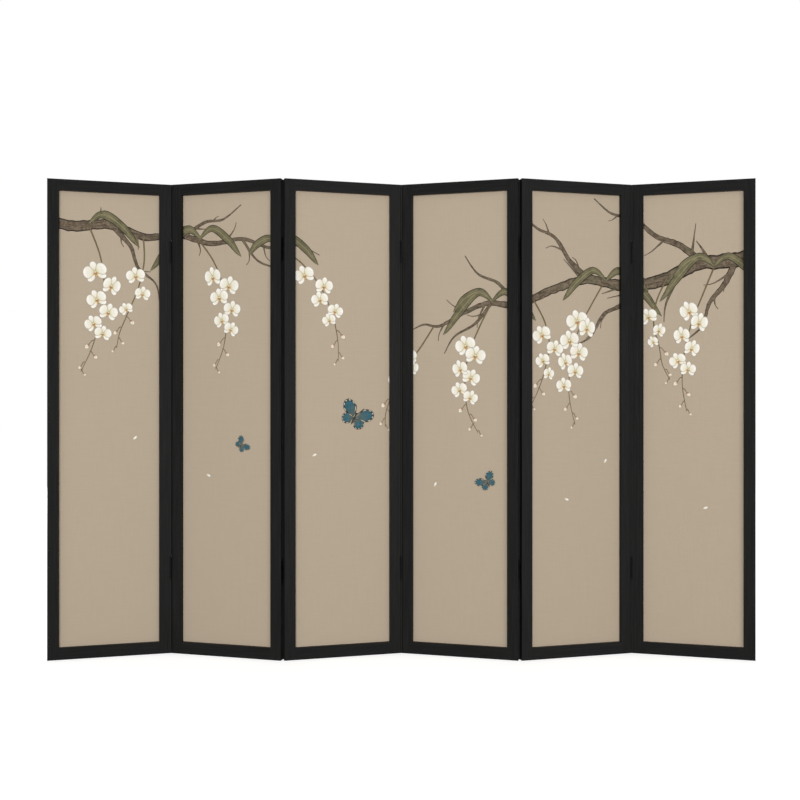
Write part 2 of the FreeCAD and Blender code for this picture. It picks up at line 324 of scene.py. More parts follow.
def mitred_way(tree):
    """1 where a strip round the opening runs upright, and 0 where it lies: a mitre between."""
    place = add(tree, "SeparateXYZ", [use(tree, panel_axes)["Place"]]).outputs
    beside = calc(tree, "SUBTRACT", calc(tree, "ABSOLUTE", place[0]), OPENING_HALF)
    from_middle = calc(tree, "ABSOLUTE", calc(tree, "SUBTRACT", place[2], OPENING_MIDDLE))
    above = calc(tree, "SUBTRACT", from_middle, OPENING_HEIGHT / 2)
    return calc(tree, "GREATER_THAN", beside, above)


def black_wood(name, upright, dark=STAIN_DARK, light=STAIN_LIGHT):
    """Stained and lacquered wood. Upright is 1 or 0, or None for strips with mitred corners."""
    material, tree, shader = finish_of(name, 0.5, Specular_IOR_Level=LACQUER_GLOSS)
    grain = use(tree, wood_grain, Upright=mitred_way(tree) if upright is None else upright)
    stained = blend(tree, smooth(tree, grain["Streaks"], 0.3, 0.75), dark, light)
    stained = blend(tree, calc(tree, "MULTIPLY", grain["Pores"], 0.35), stained, dark)
    # Painted highlight and wear: the arrises are mixed toward a paler stain.
    stained = blend(tree, calc(tree, "MULTIPLY", grain["Wear and highlight"], 0.6), stained, STAIN_WORN_AND_HIGHLIGHTED)
    feed(tree, stained, shader["Base Color"])
    sheen = calc(tree, "MULTIPLY_ADD", grain["Streaks"], 0.16, LACQUER_ROUGHNESS)
    feed(tree, calc(tree, "MULTIPLY_ADD", grain["Wear and highlight"], -0.1, sheen), shader["Roughness"])
    relief(tree, calc(tree, "ADD", grain["Pores"], grain["Streaks"]), GRAIN_DEPTH, shader)
    return material


wood_of_stiles = black_wood("black wood, upright", 1.0)
wood_of_rails = black_wood("black wood, level", 0.0)
wood_of_strips = black_wood("black wood, mitred", None)
# Painted light: the beads get a lighter stain that offsets the shade of their joints.
wood_of_beads_painted_lighter = black_wood("black wood, beads painted lighter", 1.0, PAINTED_LIGHT_BEAD_DARK, PAINTED_LIGHT_BEAD_LIGHT)
print("four finishes of black wood")

# %% [markdown]
# The hinges and their screws are painted or blackened steel, a little darker and smoother than
# the wood, with a coat of uneven gloss. The brads behind are plain steel, dulled by handling.

# %% Metals
MOTTLE_SCALE, PIT_SCALE = 420, 1500
PIT_DEPTH = 0.02 * MM
PAINT_GLOSS, STEEL_GLOSS = 0.1, 0.3
GLOSS_RANGE = 0.14
BLACK = (0, 0, 0, 1)
uneven_coat, inlets, outlets = group(
    "uneven coat",
    [("Dark", "Color", BLACK), ("Light", "Color", BLACK), ("Roughness", "Float", 0.4)],
    [("Colour", "Color"), ("Roughness", "Float"), ("Pits", "Float")])
tree = uneven_coat
place = object_place(tree)
mottle = smooth(tree, noise(tree, place, MOTTLE_SCALE, detail=3, roughness=0.6), 0.3, 0.7)
smoothest = calc(tree, "SUBTRACT", inlets["Roughness"], GLOSS_RANGE / 2)
feed(tree, blend(tree, mottle, inlets["Dark"], inlets["Light"]), outlets["Colour"])
feed(tree, calc(tree, "MULTIPLY_ADD", mottle, GLOSS_RANGE, smoothest), outlets["Roughness"])
feed(tree, noise(tree, place, PIT_SCALE), outlets["Pits"])


def coated_steel(name, dark, light, roughness, metallic):
    """Steel hardware: metallic is 0 where paint hides the steel and 1 where it's bare."""
    gloss = STEEL_GLOSS if metallic else PAINT_GLOSS
    material, tree, shader = finish_of(name, roughness, Specular_IOR_Level=gloss, Metallic=metallic)
    coat = use(tree, uneven_coat, Dark=dark, Light=light, Roughness=roughness)
    feed(tree, coat["Colour"], shader["Base Color"])
    feed(tree, coat["Roughness"], shader["Roughness"])
    relief(tree, coat["Pits"], PIT_DEPTH, shader)
    return material


hinge_paint = coated_steel("black hinge paint", colour(7, 7, 7), colour(12, 12, 12), 0.42, 0.0)
pin_paint = coated_steel("black pin paint", colour(9, 9, 9), colour(14, 14, 14), 0.38, 0.0)
screw_steel = coated_steel("blackened screws", colour(38, 37, 36), colour(60, 58, 56), 0.36, 1.0)
brad_steel = coated_steel("plain brads", colour(120, 118, 115), colour(168, 166, 162), 0.4, 1.0)
print("four finishes of steel")

# %% [markdown]
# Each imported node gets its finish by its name. Its mesh is left as it is.

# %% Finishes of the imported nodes
FINISHES = {
    "left_stile": wood_of_stiles, "right_stile": wood_of_stiles, "joint_bead": wood_of_beads_painted_lighter,
    "top_rail": wood_of_rails, "bottom_rail": wood_of_rails, "cover_strips": wood_of_strips,
    "hinge_leaves": hinge_paint, "hinge_screws": screw_steel, "strip_brads": brad_steel,
}
finished = 0
for name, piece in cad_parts.items():
    kind = name.split("_", 2)[2]
    finish = pin_paint if name.startswith("hinge_pins") else FINISHES.get(kind)
    if finish:
        piece.data.materials.clear()
        piece.data.materials.append(finish)
        finished += 1
print(finished, "packed nodes finished, and the flat cloths left")

# %% [markdown]
# The cloth is a plain weave of taupe thread, about eleven threads to the centimetre, with the
# slightly thick and thin weft of natural yarn. The weave is bump, because a thread is far
# smaller than anything a mesh should carry.

# %% Woven cloth
THREAD_PITCH = 0.9 * MM
WEAVE_DEPTH = 0.12 * MM
ALONG_WEFT, ALONG_WARP = (0.02, 1, 1), (1, 1, 0.02)
WEFT_SLUB_SCALE, WARP_SLUB_SCALE = 700, 600
CLOTH_COLOUR = colour(179, 164, 144)
CLOTH_DARK, CLOTH_PALE = colour(170, 155, 135), colour(188, 173, 153)
weave, inlets, outlets = group(
    "plain weave", [("Pitch", "Float", THREAD_PITCH)], [("Height", "Float"), ("Slub", "Float")])
place = use(weave, panel_axes)["Place"]
thread = calc(weave, "DIVIDE", math.pi, inlets["Pitch"])
parts = add(weave, "SeparateXYZ", [place]).outputs
warp = calc(weave, "SINE", calc(weave, "MULTIPLY", parts[0], thread))
weft = calc(weave, "SINE", calc(weave, "MULTIPLY", parts[2], thread))
crossing = calc(weave, "MULTIPLY", warp, weft)
feed(weave, calc(weave, "MULTIPLY_ADD", crossing, 0.5, 0.5), outlets["Height"])
weft_slub = noise(weave, stretch(weave, place, ALONG_WEFT), WEFT_SLUB_SCALE)
warp_slub = noise(weave, stretch(weave, place, ALONG_WARP), WARP_SLUB_SCALE)
slub = calc(weave, "MULTIPLY", calc(weave, "ADD", weft_slub, warp_slub), 0.5)
feed(weave, slub, outlets["Slub"])

taupe_cloth, tree, shader = finish_of("taupe cloth", 0.95, Specular_IOR_Level=0.1)
woven = use(tree, weave)
threads = blend(tree, smooth(tree, woven["Slub"], 0.35, 0.65), CLOTH_DARK, CLOTH_PALE)
threads = blend(tree, 0.2, CLOTH_COLOUR, threads)
clouds = noise(tree, object_place(tree), 3.0)
shade = blend(tree, calc(tree, "MULTIPLY", clouds, 0.12), threads, CLOTH_DARK)
feed(tree, shade, shader["Base Color"])
relief(tree, woven["Height"], WEAVE_DEPTH, shader)
print("plain weave:", len(weave.nodes), "nodes")

# %% [markdown]
# A stretched cloth isn't quite flat: it eases a little between the strips that hold it. The
# same gentle wave is used for the cloth and for the paint on it, so the paint never leaves the
# cloth. It dies away at the strips, where the cloth is held. No simulation is needed, because a
# cloth under tension has no folds.

# %% The ease of the stretched cloth
MOST_EASE = 1 * MM
STRIP_GRIP = 12


def ease(across, height):
    """How far the cloth stands back from flat, in metres, at a place in its opening."""
    beside = max(0.0, 1 - (across / OPENING_HALF) ** 2)
    rise = (height - OPENING_BOTTOM) / OPENING_HEIGHT
    above = max(0.0, min(1.0, STRIP_GRIP * rise, STRIP_GRIP * (1 - rise)))
    wave = 0.4 * math.sin(9 * across + 5 * height) + 0.3 * math.sin(4 * height - 6 * across + 1)
    return MOST_EASE * beside * above * (0.3 + wave)


def only(*pieces):
    """Selects these pieces and nothing else, and makes the first the active one."""
    bpy.ops.object.select_all(action="DESELECT")
    for piece in pieces:
        piece.select_set(True)
    bpy.context.view_layer.objects.active = pieces[0]
    return pieces[0]


def settle(piece, number, depth):
    """Lays a flat piece on its panel's cloth: eased with it, and stood where the panel stands."""
    for vertex in piece.data.vertices:
        spot = vertex.co
        spot.y += depth + ease(spot.x, spot.z)
    piece.data.transform(panel_matrix(number))
    piece.data.update()


print("in its middle a cloth stands", round(ease(0, OPENING_MIDDLE) / MM, 2), "mm off flat")

# %% [markdown]
# Each cloth is a grid that is larger than its opening by the hem that the strips hold. It is
# eased and stood in its panel, and Solidify gives it the cloth's thickness toward the back.

# %% Cloth sheets
CLOTH_ROWS, CLOTH_COLUMNS = 96, 22
SOFT_ANGLE = math.radians(30)
cloth_size = (2 * (OPENING_HALF + CLOTH_HEM), OPENING_HEIGHT + 2 * CLOTH_HEM)
sheets = {}
for n in PANELS:
    bpy.ops.mesh.primitive_grid_add(
        x_subdivisions=CLOTH_COLUMNS, y_subdivisions=CLOTH_ROWS, size=1,
        location=(0, 0, OPENING_MIDDLE), rotation=(math.pi / 2, 0, 0))
    sheet = bpy.context.object
    sheet.name = sheet.data.name = f"panel_{n}_stretched_cloth"
    sheet.scale = (cloth_size[0], cloth_size[1], 1)
    bpy.ops.object.transform_apply(location=True, rotation=True, scale=True)
    settle(sheet, n, CLOTH_FRONT)
    thicken = sheet.modifiers.new("cloth thickness", "SOLIDIFY")
    thicken.thickness, thicken.offset = CLOTH_THICKNESS, -1
    bpy.ops.object.modifier_apply(modifier=thicken.name)
    bpy.ops.object.shade_smooth_by_angle(angle=SOFT_ANGLE)
    sheet.data.materials.append(taupe_cloth)
    sheets[n] = sheet
print("each cloth is cut", [round(v / MM) for v in cloth_size], "mm")

# %% [markdown]
# The picture is painted on all six cloths at once, laid side by side, and then cut along the
# openings, so that each branch runs on behind the frames. It is a common garden subject: two
# old limbs with hanging sprays of white moth orchids, and a few butterflies. Each painted mark
# is a thin closed shape that lies on the cloth. Places in the picture are in millimetres, from
# the left end of the first panel and from the floor. A line is drawn as a curve with a round
# bevel, because a curve takes a width at each point, and is then pressed nearly flat.

# %% Brush strokes
PICTURE_PITCH = PANEL_WIDTH + PANEL_GAP
PAINT_OFFSET = 0.2 * MM
STROKE_ROUND = 2
MERGE_DISTANCE = 0.001 * MM


def through(points, steps=8):
    """A smooth line through its points, each of them a place and a width."""
    ends = [points[0], *points, points[-1]]
    line = []
    for before, start, end, after in zip(ends, ends[1:], ends[2:], ends[3:]):
        for step in range(steps):
            t = step / steps
            line.append(tuple(
                0.5 * (2 * b + (c - a) * t + (2 * a - 5 * b + 4 * c - d) * t ** 2
                       + (3 * b - a - 3 * c + d) * t ** 3)
                for a, b, c, d in zip(before, start, end, after)))
    return line + [points[-1]]


def brush(name, lines, material, press=0.006, layer=0.0):
    """Brush strokes: round tubes that swell and taper along their lines, pressed nearly flat."""
    bpy.ops.curve.primitive_nurbs_path_add()
    piece = bpy.context.object
    piece.name = name
    curve = piece.data
    curve.splines.clear()
    curve.dimensions, curve.fill_mode = "2D", "NONE"
    curve.bevel_depth, curve.bevel_resolution, curve.use_fill_caps = 1.0, STROKE_ROUND, True
    for line in lines:
        spline = curve.splines.new("POLY")
        spline.points.add(len(line) - 1)
        for point, (x, z, width) in zip(spline.points, line):
            point.co = (x * MM, z * MM, 0, 1)
            point.radius = width / 2 * MM
    bpy.ops.object.convert(target="MESH")
    piece = bpy.context.object
    piece.scale = (1, 1, press)
    piece.rotation_euler = (math.pi / 2, 0, 0)
    piece.location = (0, -PAINT_OFFSET - layer * MM, 0)
    only(piece)
    bpy.ops.object.transform_apply(location=True, rotation=True, scale=True)
    bpy.ops.object.mode_set(mode="EDIT")
    bpy.ops.mesh.select_all(action="SELECT")
    bpy.ops.mesh.remove_doubles(threshold=MERGE_DISTANCE)
    bpy.ops.mesh.normals_make_consistent(inside=False)
    bpy.ops.object.mode_set(mode="OBJECT")
    piece.data.materials.clear()
    piece.data.materials.append(material)
    return piece


print("the picture is", round(len(PANELS) * PICTURE_PITCH / MM), "mm wide")

# %% [markdown]
# Paint on cloth is thin: the weave still shows through it. So each paint is the colour of its
# mark over the same weave that the bare cloth has. Marks keep the flat map that they were made
# with, and outlines and veins follow it. Two more groups read that map: one gives 0 along the
# middle of a stroke and 1 at its edges, from how far round its tube a point is, and the other
# gives how far out on a petal a point is, and on which ray from its foot.

# %% Paint on cloth, for shaders
STROKE_MIDDLE = 0.125
PAINT_DEPTH = 0.1 * MM
paint_on_cloth, inlets, outlets = group(
    "paint on cloth", [("Shade", "Color", CLOTH_COLOUR), ("Thinness", "Float", 0.22)],
    [("Colour", "Color"), ("Height", "Float")])
tree = paint_on_cloth
woven = use(tree, weave)
thin = calc(tree, "MULTIPLY", smooth(tree, woven["Slub"], 0.35, 0.75), inlets["Thinness"])
feed(tree, blend(tree, thin, inlets["Shade"], CLOTH_COLOUR), outlets["Colour"])
feed(tree, woven["Height"], outlets["Height"])

stroke_edge, inlets, outlets = group("stroke edge", [("Around", "Float", 0.0)], [("Edge", "Float")])
tree = stroke_edge
off_middle = calc(tree, "SUBTRACT", inlets["Around"], STROKE_MIDDLE)
turn = calc(tree, "MULTIPLY", off_middle, 2 * math.pi)
feed(tree, calc(tree, "ABSOLUTE", calc(tree, "SINE", turn)), outlets["Edge"])

petal_map, inlets, outlets = group(
    "petal map", [("Across", "Float", 0.5), ("Along", "Float", 0.5), ("Foot", "Float", 0.12)],
    [("Reach", "Float"), ("Fan", "Float")])
tree = petal_map
beside = calc(tree, "SUBTRACT", inlets["Across"], 0.5)
above = calc(tree, "SUBTRACT", inlets["Along"], 0.5)
offset = add(tree, "CombineXYZ", (beside, above)).outputs[0]
radius = add(tree, "VectorMath", [offset], operation="LENGTH").outputs["Value"]
feed(tree, calc(tree, "MULTIPLY", radius, 2.0), outlets["Reach"])
from_foot = calc(tree, "ADD", inlets["Along"], inlets["Foot"])
feed(tree, calc(tree, "ARCTAN2", beside, from_foot), outlets["Fan"])


def paint(name, mark):
    """A matt paint whose colour is worked out by a function of the tree and the mark's own map."""
    material, tree, shader = finish_of(name, 0.85, Specular_IOR_Level=0.15)
    flat_map = add(tree, "SeparateXYZ", [add(tree, "UVMap", uv_map="UVMap").outputs[0]]).outputs
    laid = use(tree, paint_on_cloth, Shade=mark(tree, flat_map[0], flat_map[1]))
    feed(tree, laid["Colour"], shader["Base Color"])
    relief(tree, laid["Height"], PAINT_DEPTH, shader)
    return material


print("groups:", paint_on_cloth.name, "|", stroke_edge.name, "|", petal_map.name)

# %% [markdown]
# Old bark is grey-brown and rough, with darker ridges drawn out along the limb, dark flecks,
# green patches of moss, and a dark outline. Leaves are strap-shaped with a pale rib down the
# middle, and stems are thin and plain.

# %% Bark, leaf and stem paint
BARK_DARK, BARK_PALE, MOSS = colour(78, 66, 54), colour(124, 109, 90), colour(96, 98, 70)
BARK_RIDGE, BARK_FLECK, BARK_EDGE = colour(50, 41, 35), colour(56, 47, 40), colour(46, 38, 32)
LEAF_DARK, LEAF_PALE = colour(86, 84, 60), colour(112, 107, 78)
LEAF_RIB, LEAF_EDGE = colour(150, 141, 108), colour(60, 56, 40)
STEM_COLOUR, STEM_EDGE = colour(110, 98, 66), colour(72, 62, 42)
BARK_SCALE, MOSS_SCALE, FLECK_SCALE, LEAF_SCALE = 75, 16, 380, 40
RIDGES_ALONG, RIDGES_AROUND = 34.0, 15.0


def bark_mark(tree, along, around):
    """Bark with moss, ridges, flecks and a dark outline."""
    place = object_place(tree)
    rough = noise(tree, place, BARK_SCALE, detail=6, roughness=0.7)
    shade = blend(tree, smooth(tree, rough, 0.36, 0.64), BARK_DARK, BARK_PALE)
    moss = smooth(tree, noise(tree, place, MOSS_SCALE, detail=3, roughness=0.6), 0.5, 0.66)
    shade = blend(tree, calc(tree, "MULTIPLY", moss, 0.45), shade, MOSS)
    drawn_out = add(tree, "CombineXYZ", (
        calc(tree, "MULTIPLY", along, RIDGES_ALONG),
        calc(tree, "MULTIPLY", around, RIDGES_AROUND), 0.0)).outputs[0]
    ridges = smooth(tree, noise(tree, drawn_out, 1.0, detail=3, roughness=0.6), 0.52, 0.6)
    shade = blend(tree, calc(tree, "MULTIPLY", ridges, 0.72), shade, BARK_RIDGE)
    flecks = smooth(tree, noise(tree, place, FLECK_SCALE, detail=3, roughness=0.6), 0.54, 0.7)
    shade = blend(tree, calc(tree, "MULTIPLY", flecks, 0.6), shade, BARK_FLECK)
    edge = use(tree, stroke_edge, Around=around)["Edge"]
    return blend(tree, smooth(tree, edge, 0.66, 0.95), shade, BARK_EDGE)


def leaf_mark(tree, along, around):
    """Two greens in soft patches, a pale rib and a dark outline."""
    edge = use(tree, stroke_edge, Around=around)["Edge"]
    mottle = noise(tree, object_place(tree), LEAF_SCALE, detail=4, roughness=0.6)
    shade = blend(tree, smooth(tree, mottle, 0.35, 0.65), LEAF_DARK, LEAF_PALE)
    shade = blend(tree, smooth(tree, edge, 0.12, 0.02), shade, LEAF_RIB)
    return blend(tree, smooth(tree, edge, 0.8, 0.96), shade, LEAF_EDGE)


def stem_mark(tree, along, around):
    """Olive, and darker toward both edges."""
    edge = use(tree, stroke_edge, Around=around)["Edge"]
    return blend(tree, smooth(tree, edge, 0.5, 0.9), STEM_COLOUR, STEM_EDGE)


bark_paint = paint("painted bark", bark_mark)
leaf_paint = paint("painted leaves", leaf_mark)
stem_paint = paint("painted stems", stem_mark)
print("bark, leaf and stem paint mixed")

# %% [markdown]
# A petal is creamy at its foot and white at its tip, with fine veins that fan out from the foot
# and fade, and a thin outline. The lip and the buds are warmer. The map of a petal is that of
# the round disc that it was drawn from: across, and along from its foot.

# %% Petal, lip and bud paint
PETAL_FOOT, PETAL_MIDDLE, PETAL_TIP = colour(206, 196, 140), colour(238, 233, 218), colour(250, 248, 242)
PETAL_VEIN, PETAL_EDGE = colour(196, 184, 148), colour(152, 138, 116)
LIP_FOOT, LIP_TIP, LIP_EDGE = colour(150, 96, 78), colour(214, 176, 104), colour(118, 74, 60)
BUD_FOOT, BUD_TIP, BUD_EDGE = colour(146, 104, 84), colour(236, 226, 206), colour(150, 128, 104)
PETAL_VEINS = 58.0


def petal_mark(tree, across, along):
    """Cream to white, with fading veins and a thin outline."""
    shape = use(tree, petal_map, Across=across, Along=along, Foot=0.12)
    shade = blend(tree, smooth(tree, along, 0.02, 0.42), PETAL_FOOT, PETAL_MIDDLE)
    shade = blend(tree, smooth(tree, along, 0.4, 1.0), shade, PETAL_TIP)
    rays = calc(tree, "SINE", calc(tree, "MULTIPLY", shape["Fan"], PETAL_VEINS))
    fading = calc(tree, "SUBTRACT", 0.34, calc(tree, "MULTIPLY", along, 0.24))
    veins = calc(tree, "MULTIPLY", smooth(tree, rays, 0.55, 0.95), fading)
    shade = blend(tree, veins, shade, PETAL_VEIN)
    rim = calc(tree, "MULTIPLY", smooth(tree, shape["Reach"], 0.84, 0.96), 0.8)
    return blend(tree, rim, shade, PETAL_EDGE)


def lip_mark(tree, across, along):
    """A russet foot, a yellow tip and a brown outline."""
    shape = use(tree, petal_map, Across=across, Along=along)
    shade = blend(tree, smooth(tree, along, 0.1, 0.9), LIP_FOOT, LIP_TIP)
    return blend(tree, smooth(tree, shape["Reach"], 0.8, 0.97), shade, LIP_EDGE)


def bud_mark(tree, across, along):
    """A brown foot, a cream tip and a soft brown outline."""
    shape = use(tree, petal_map, Across=across, Along=along)
    shade = blend(tree, smooth(tree, along, 0.15, 0.6), BUD_FOOT, BUD_TIP)
    return blend(tree, smooth(tree, shape["Reach"], 0.8, 0.97), shade, BUD_EDGE)


petal_paint = paint("painted petals", petal_mark)
lip_paint = paint("painted lips", lip_mark)
bud_paint = paint("painted buds", bud_mark)
print("petal, lip and bud paint mixed")

# %% [markdown]
# The butterflies' wings are teal with dark veins. A dark band runs round each wing, with a row of
# pale spots in it, one between each two veins. Body and head are nearly black.

# %% Wing and body paint
WING_FOOT, WING_TEAL = colour(74, 92, 88), colour(26, 92, 110)
WING_VEIN, WING_BAND, WING_SPOT = colour(22, 40, 46), colour(24, 38, 42), colour(222, 214, 190)
BODY_DARK, BODY_RING = colour(34, 30, 28), colour(118, 104, 84)
WING_VEINS, BODY_RINGS = 26.0, 60.0


def wing_mark(tree, across, along):
    """Teal with dark veins, and a dark band with pale spots."""
    shape = use(tree, petal_map, Across=across, Along=along, Foot=0.15)
    rays = calc(tree, "SINE", calc(tree, "MULTIPLY", shape["Fan"], WING_VEINS))
    shade = blend(tree, smooth(tree, along, 0.0, 0.8), WING_FOOT, WING_TEAL)
    shade = blend(tree, calc(tree, "MULTIPLY", smooth(tree, rays, 0.8, 0.97), 0.7), shade, WING_VEIN)
    shade = blend(tree, smooth(tree, shape["Reach"], 0.74, 0.82), shade, WING_BAND)
    in_band = calc(tree, "MULTIPLY", smooth(tree, shape["Reach"], 0.83, 0.86),
                   smooth(tree, shape["Reach"], 0.94, 0.91))
    spots = calc(tree, "MULTIPLY", smooth(tree, rays, 0.2, -0.3), in_band)
    return blend(tree, spots, shade, WING_SPOT)


def body_mark(tree, across, along):
    """Nearly black, with paler rings round the tail end."""
    rings = smooth(tree, calc(tree, "SINE", calc(tree, "MULTIPLY", along, BODY_RINGS)), 0.1, 0.7)
    tail = calc(tree, "MULTIPLY", rings, smooth(tree, along, 0.3, 0.5))
    return blend(tree, calc(tree, "MULTIPLY", tail, 0.5), BODY_DARK, BODY_RING)


wing_paint = paint("painted wings", wing_mark)
body_paint = paint("painted bodies", body_mark)
print("wing and body paint mixed")

# %% [markdown]
# A petal starts as a disc with two rings inset and a middle point. It is drawn narrow at its
# base with proportional editing, and scaled to its size. Blossoms, buds and wings are all made
# of such petals, turned about their middle and laid over one another.

# %% Petals
PETAL_CORNERS = 20
RING_INSET = 0.16
FOOT_LINE = -0.42
PULL_REACH = 0.75
PAINT_STEP = 0.08 * MM
PAINT_THICKNESS = 0.05 * MM


def petal(width, length, waist, degrees, material, start=0.0, layer=0):
    """A petal of that size in mm, narrowed by waist at its base, turned clockwise from up."""
    turn = math.radians(degrees)
    bpy.ops.mesh.primitive_circle_add(
        vertices=PETAL_CORNERS, radius=0.5, fill_type="NGON",
        location=(0, 0, 0.5), rotation=(math.pi / 2, 0, 0))
    piece = bpy.context.object
    bpy.ops.object.mode_set(mode="EDIT")
    bpy.ops.mesh.select_all(action="SELECT")
    bpy.ops.mesh.inset(thickness=RING_INSET)
    bpy.ops.mesh.inset(thickness=RING_INSET)
    bpy.ops.mesh.poke()
    bpy.ops.mesh.select_all(action="DESELECT")
    bpy.ops.object.mode_set(mode="OBJECT")
    for vertex in piece.data.vertices:
        vertex.select = vertex.co.y < FOOT_LINE
    bpy.ops.object.mode_set(mode="EDIT")
    bpy.ops.transform.resize(
        value=(waist, 1, 1), center_override=(0, 0, 0), use_proportional_edit=True,
        proportional_edit_falloff="SMOOTH", proportional_size=PULL_REACH)
    bpy.ops.object.mode_set(mode="OBJECT")
    bpy.ops.object.transform_apply(location=True, rotation=True, scale=True)
    out, up = start * MM * math.sin(turn), start * MM * math.cos(turn)
    piece.scale = (width * MM, 1, length * MM)
    piece.rotation_euler = (0, turn, 0)
    piece.location = (out, -layer * PAINT_STEP, up)
    bpy.ops.object.transform_apply(location=True, rotation=True, scale=True)
    piece.data.materials.append(material)
    return piece


def mark_of(name, petals):
    """Petals joined into one painted mark, each given the thickness of paint."""
    piece = only(*petals)
    bpy.ops.object.join()
    piece.name = piece.data.name = name
    body = piece.modifiers.new("paint thickness", "SOLIDIFY")
    body.thickness, body.offset = PAINT_THICKNESS, 0
    bpy.ops.object.modifier_apply(modifier=body.name)
    print(name, "has", len(piece.data.polygons), "faces")
    return piece


# %% [markdown]
# A moth orchid has three narrow petals behind, two broad round ones over them, and a small
# coloured lip. A half-turned one is the same, squeezed. A bud is one plump petal with its cap.
# A butterfly has two hind wings, two fore wings over them, a long body and a small head.

# %% Orchid, bud, loose petal and butterfly
orchid = mark_of("orchid", [
    petal(27, 42, 0.45, 0, petal_paint),
    petal(26, 42, 0.5, 128, petal_paint),
    petal(26, 42, 0.5, 232, petal_paint),
    petal(50, 44, 0.4, 74, petal_paint, layer=1),
    petal(50, 44, 0.4, 286, petal_paint, layer=1),
    petal(9, 11, 0.7, 138, lip_paint, layer=2),
    petal(9, 11, 0.7, 222, lip_paint, layer=2),
    petal(8, 18, 0.6, 180, lip_paint, layer=3),
    petal(6, 7, 0.8, 0, petal_paint, start=-3.5, layer=3)])
bud = mark_of("bud", [
    petal(15, 20, 0.7, 0, bud_paint),
    petal(8, 17, 0.6, 14, bud_paint, layer=1)])
loose_petal = mark_of("loose petal", [petal(9, 21, 0.5, 0, petal_paint)])
butterfly = mark_of("butterfly", [
    petal(46, 50, 0.4, 118, wing_paint),
    petal(46, 50, 0.4, 242, wing_paint),
    petal(52, 78, 0.3, 52, wing_paint, layer=1),
    petal(52, 78, 0.3, 308, wing_paint, layer=1),
    petal(8, 46, 0.7, 180, body_paint, start=-17, layer=2),
    petal(8, 8, 0.9, 0, body_paint, start=13, layer=3)])
MASTERS = (orchid, bud, loose_petal, butterfly)

# %% [markdown]
# What repeats is modelled once and copied. A copy has its own mesh, and its level lifts it over
# the marks that it overlaps, so that no two of them lie in one plane.

# %% Copies of a mark
FIRST_STEP, STEPS_PER_LEVEL = 7, 4
painted = []


def stamp(master, x, z, size=1.0, turn=0.0, squeeze=1.0, level=0):
    """A copy of a mark with its own mesh, at a place in the picture."""
    piece = master.copy()
    piece.data = master.data.copy()
    bpy.context.scene.collection.objects.link(piece)
    lift = PAINT_OFFSET + (FIRST_STEP + STEPS_PER_LEVEL * level) * PAINT_STEP
    piece.data.transform(
        Matrix.Translation((x * MM, -lift, z * MM)) @ Matrix.Rotation(turn, 4, "Y")
        @ Matrix.Diagonal((size * squeeze, 1, size, 1)))
    painted.append(piece)


print("the lowest copies lie", round((PAINT_OFFSET + FIRST_STEP * PAINT_STEP) / MM, 2), "mm up")

# %% [markdown]
# The limbs are drawn with a loaded brush: each has its line and its width, and the hand shakes a
# little, so that the bark is uneven. The left limb comes from the corner of the first panel and
# the right one from beyond the last, and both thin out toward the middle.

# %% Limbs
hand = random.Random(11)


def shaky(points, tremble=0.09):
    """A limb's line, with the uneven edge of old bark."""
    return [(x + hand.uniform(-1, 1) * width * tremble / 2,
             z + hand.uniform(-1, 1) * width * tremble / 2,
             width * (1 + hand.uniform(-tremble, tremble))) for x, z, width in through(points, 9)]


LIMBS = [
    [(2780, 1545, 60), (2640, 1500, 56), (2500, 1488, 52), (2370, 1432, 47), (2230, 1412, 42),
     (2080, 1432, 36), (1930, 1385, 31), (1800, 1330, 26), (1690, 1338, 20), (1590, 1300, 15),
     (1500, 1255, 11), (1440, 1262, 7), (1385, 1238, 3)],
    [(2520, 1488, 30), (2440, 1560, 24), (2350, 1600, 19), (2270, 1668, 14), (2180, 1690, 9),
     (2110, 1742, 4)],
    [(2090, 1430, 24), (2010, 1500, 18), (1950, 1585, 13), (1870, 1622, 9), (1800, 1690, 4)],
    [(2300, 1420, 24), (2225, 1340, 18), (2150, 1300, 13), (2095, 1215, 9), (2030, 1180, 4)],
    [(2640, 1498, 26), (2600, 1410, 20), (2545, 1340, 14), (2520, 1255, 9), (2460, 1200, 4)],
    [(1790, 1330, 17), (1730, 1410, 12), (1650, 1450, 8), (1600, 1520, 4)],
    [(1700, 1336, 13), (1640, 1262, 10), (1560, 1215, 7), (1520, 1150, 3)],
    [(-40, 1662, 44), (90, 1628, 40), (220, 1640, 35), (350, 1598, 30), (480, 1606, 25),
     (610, 1570, 20), (740, 1582, 15), (850, 1545, 11), (960, 1552, 7), (1040, 1520, 3)],
    [(230, 1638, 20), (300, 1562, 15), (330, 1480, 11), (395, 1420, 7), (410, 1350, 3)],
    [(500, 1604, 16), (585, 1652, 12), (660, 1660, 8), (735, 1712, 4)],
    [(740, 1580, 11), (800, 1500, 8), (880, 1460, 6), (930, 1390, 3)],
]
limb_lines = [shaky(limb) for limb in LIMBS]
painted.append(brush("limbs", limb_lines, bark_paint))
print(len(limb_lines), "limbs and boughs")

# %% [markdown]
# Old limbs carry short spurs and the stubs of twigs that broke off. Each is a quick stroke that
# leaves its limb at an angle, first on one side and then on the other, with a knot at its foot.

# %% Spurs and knots
SPUR_SPACING = 105
THINNEST_BEARER = 8
SPUR_TIP = 2.6
spur_hand = random.Random(2)


